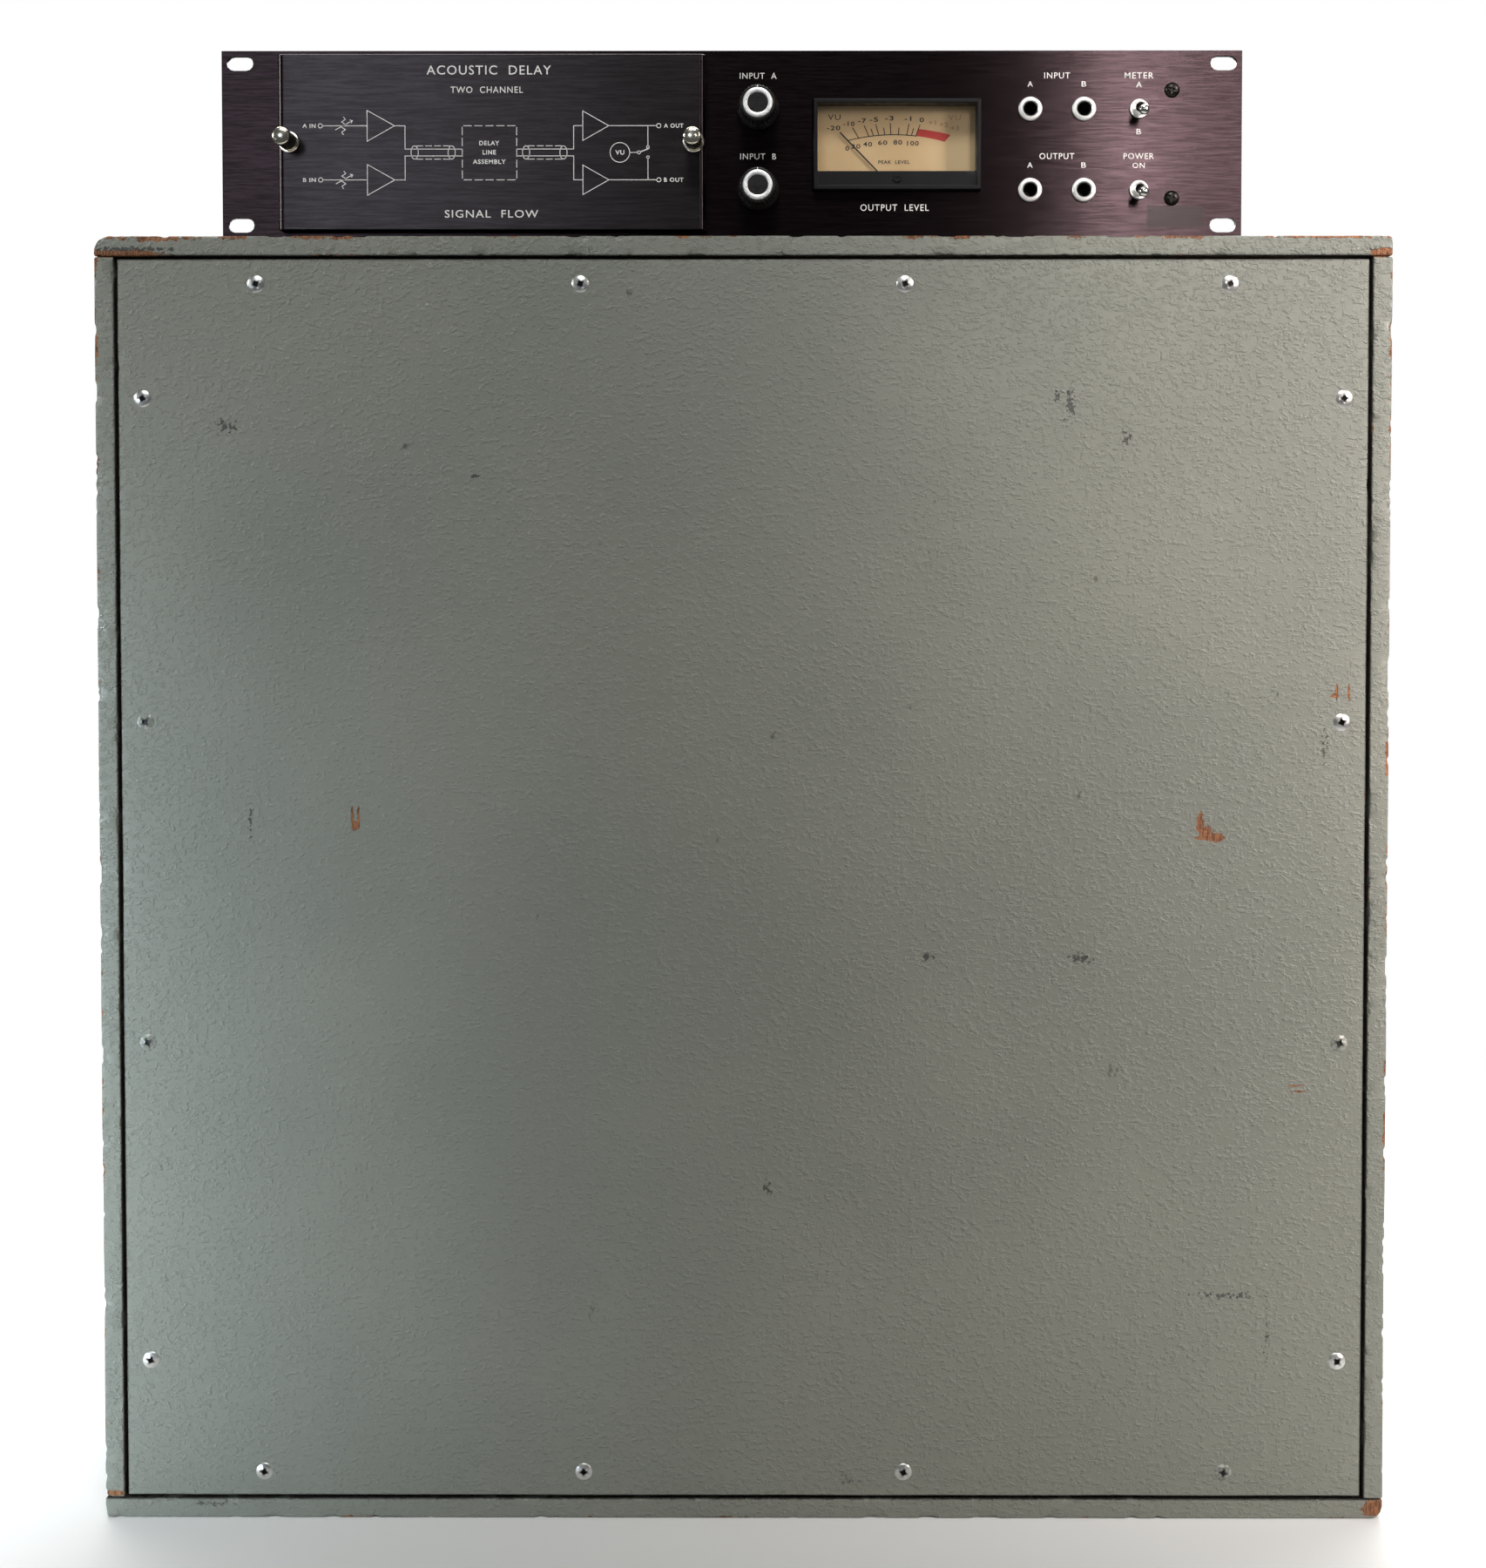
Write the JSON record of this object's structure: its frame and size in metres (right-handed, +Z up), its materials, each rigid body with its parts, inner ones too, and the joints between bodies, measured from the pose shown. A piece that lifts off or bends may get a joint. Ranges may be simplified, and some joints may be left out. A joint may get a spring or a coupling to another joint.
{
  "type": "rack effects unit",
  "caption": "Two-channel acoustic delay unit: a dark 19-inch rack panel with knobs, level meter, jacks and toggles, standing on its grey-green plywood delay-line cabinet.",
  "frame": {"origin": "middle of the cabinet's underside", "axes": "+Z up, the front faces -Y, and +X is to the right as seen from the front"},
  "size_m": [0.6096, 0.2733, 0.698],
  "materials": {
    "painted_plywood": "grey-green enamel with a rolled stipple, chipped at the edges",
    "bare_wood": "sawn softwood and plywood, unpainted",
    "rubber": "matt black rubber",
    "hose": "green flexible hose",
    "black_plastic": "black moulding",
    "knob_plastic": "black phenolic, fluted skirt",
    "plated_steel": "zinc-plated sheet and turned steel",
    "panel_anodising": "dark brushed anodising, horizontal grain",
    "cover_anodising": "lighter worn anodising, horizontal grain",
    "black_screw": "black oxide",
    "bright_nickel": "bright nickel plate",
    "bright_aluminium": "turned aluminium inlay",
    "dial_card": "cream card with printed scale",
    "clear_acrylic": "clear acrylic",
    "circuit_board": "green circuit board",
    "lamination": "varnished steel laminations"
  },
  "bodies": {
    "cabinet": {"cabinet_top_board": "painted_plywood", "cabinet_bottom_board": "painted_plywood", "cabinet_left_board": "painted_plywood", "cabinet_right_board": "painted_plywood", "cabinet_back_board": "painted_plywood", "cabinet_front_board": "painted_plywood", "top_cleat": "bare_wood", "bottom_cleat": "bare_wood", "left_cleat": "bare_wood", "right_cleat": "bare_wood", "cabinet_socket": "plated_steel", "coil_former": "bare_wood", "isolator_upper_left": "rubber", "isolator_upper_right": "rubber", "isolator_lower_left": "rubber", "isolator_lower_right": "rubber", "delay_hose_a": "hose", "delay_hose_b": "hose", "hose_driver_a": "black_plastic", "hose_driver_b": "black_plastic", "hose_pickup_a": "black_plastic", "hose_pickup_b": "black_plastic"},
    "rack_unit": {"rack_panel": "panel_anodising", "chassis_tray": "plated_steel", "chassis_lid": "plated_steel", "panel_screw_upper": "black_screw", "panel_screw_lower": "black_screw", "input_a_potentiometer": "plated_steel", "input_b_potentiometer": "plated_steel", "input_jack_a": "bright_nickel", "input_jack_b": "bright_nickel", "output_jack_a": "bright_nickel", "output_jack_b": "bright_nickel", "meter_switch": "bright_nickel", "power_switch": "bright_nickel", "meter_case": "black_plastic", "meter_dial": "dial_card", "meter_window": "clear_acrylic", "mains_transformer": "lamination", "supply_board": "circuit_board", "drive_amplifier_board": "circuit_board", "recovery_amplifier_board": "circuit_board", "line_socket": "plated_steel", "fuse_holder": "black_plastic", "mains_cord_gland": "black_plastic"},
    "access_cover": {"access_cover": "cover_anodising"},
    "thumbscrew_left": {"thumbscrew_left": "bright_nickel"},
    "thumbscrew_right": {"thumbscrew_right": "bright_nickel"},
    "input_a_knob": {"input_a_knob": "knob_plastic", "input_a_knob_ring": "bright_aluminium", "input_a_shaft": "bright_nickel"},
    "input_b_knob": {"input_b_knob": "knob_plastic", "input_b_knob_ring": "bright_aluminium", "input_b_shaft": "bright_nickel"},
    "meter_needle": {"meter_needle": "black_plastic"},
    "meter_zero_screw": {"meter_zero_screw": "black_plastic"},
    "meter_switch_lever": {"meter_switch_lever": "bright_nickel"},
    "power_switch_lever": {"power_switch_lever": "bright_nickel"},
    "fuse_cap": {"fuse_cap": "black_plastic"}
  },
  "joints": [
    {"name": "rack_unit_lift", "type": "slide", "parent": "cabinet", "child": "rack_unit", "axis": [0, 0, 1], "range_m": [0, 0.15]},
    {"name": "access_cover_pull", "type": "slide", "parent": "rack_unit", "child": "access_cover", "axis": [0, -1, 0], "range_m": [0, 0.06]},
    {"name": "thumbscrew_left_turn", "type": "hinge", "parent": "access_cover", "child": "thumbscrew_left", "pos_m": [-0.2134, -0.123, 0.65395], "axis": [0, -1, 0], "continuous": true},
    {"name": "thumbscrew_right_turn", "type": "hinge", "parent": "access_cover", "child": "thumbscrew_right", "pos_m": [-0.0231, -0.123, 0.65395], "axis": [0, -1, 0], "continuous": true},
    {"name": "input_a_level", "type": "hinge", "parent": "rack_unit", "child": "input_a_knob", "pos_m": [0.0071, -0.115, 0.67045], "axis": [0, 1, 0], "range_deg": [-150, 150]},
    {"name": "input_b_level", "type": "hinge", "parent": "rack_unit", "child": "input_b_knob", "pos_m": [0.0071, -0.115, 0.63235], "axis": [0, 1, 0], "range_deg": [-150, 150]},
    {"name": "meter_needle_swing", "type": "hinge", "parent": "rack_unit", "child": "meter_needle", "pos_m": [0.0727, -0.1085, 0.63295], "axis": [0, 1, 0], "range_deg": [0, 88], "stiffness_Nm_per_rad": 0.00002, "springref_deg": -11.46},
    {"name": "meter_zero_turn", "type": "hinge", "parent": "rack_unit", "child": "meter_zero_screw", "pos_m": [0.0727, -0.118, 0.63765], "axis": [0, 1, 0], "range_deg": [-30, 30]},
    {"name": "meter_switch_flip", "type": "hinge", "parent": "rack_unit", "child": "meter_switch_lever", "pos_m": [0.1871, -0.118, 0.67045], "axis": [-1, 0, 0], "range_deg": [0, 25]},
    {"name": "power_switch_flip", "type": "hinge", "parent": "rack_unit", "child": "power_switch_lever", "pos_m": [0.1871, -0.118, 0.63235], "axis": [-1, 0, 0], "range_deg": [0, 25]},
    {"name": "fuse_cap_turn", "type": "hinge", "parent": "rack_unit", "child": "fuse_cap", "pos_m": [0.1395, 0.104, 0.64195], "axis": [0, 1, 0], "continuous": true}
  ]
}
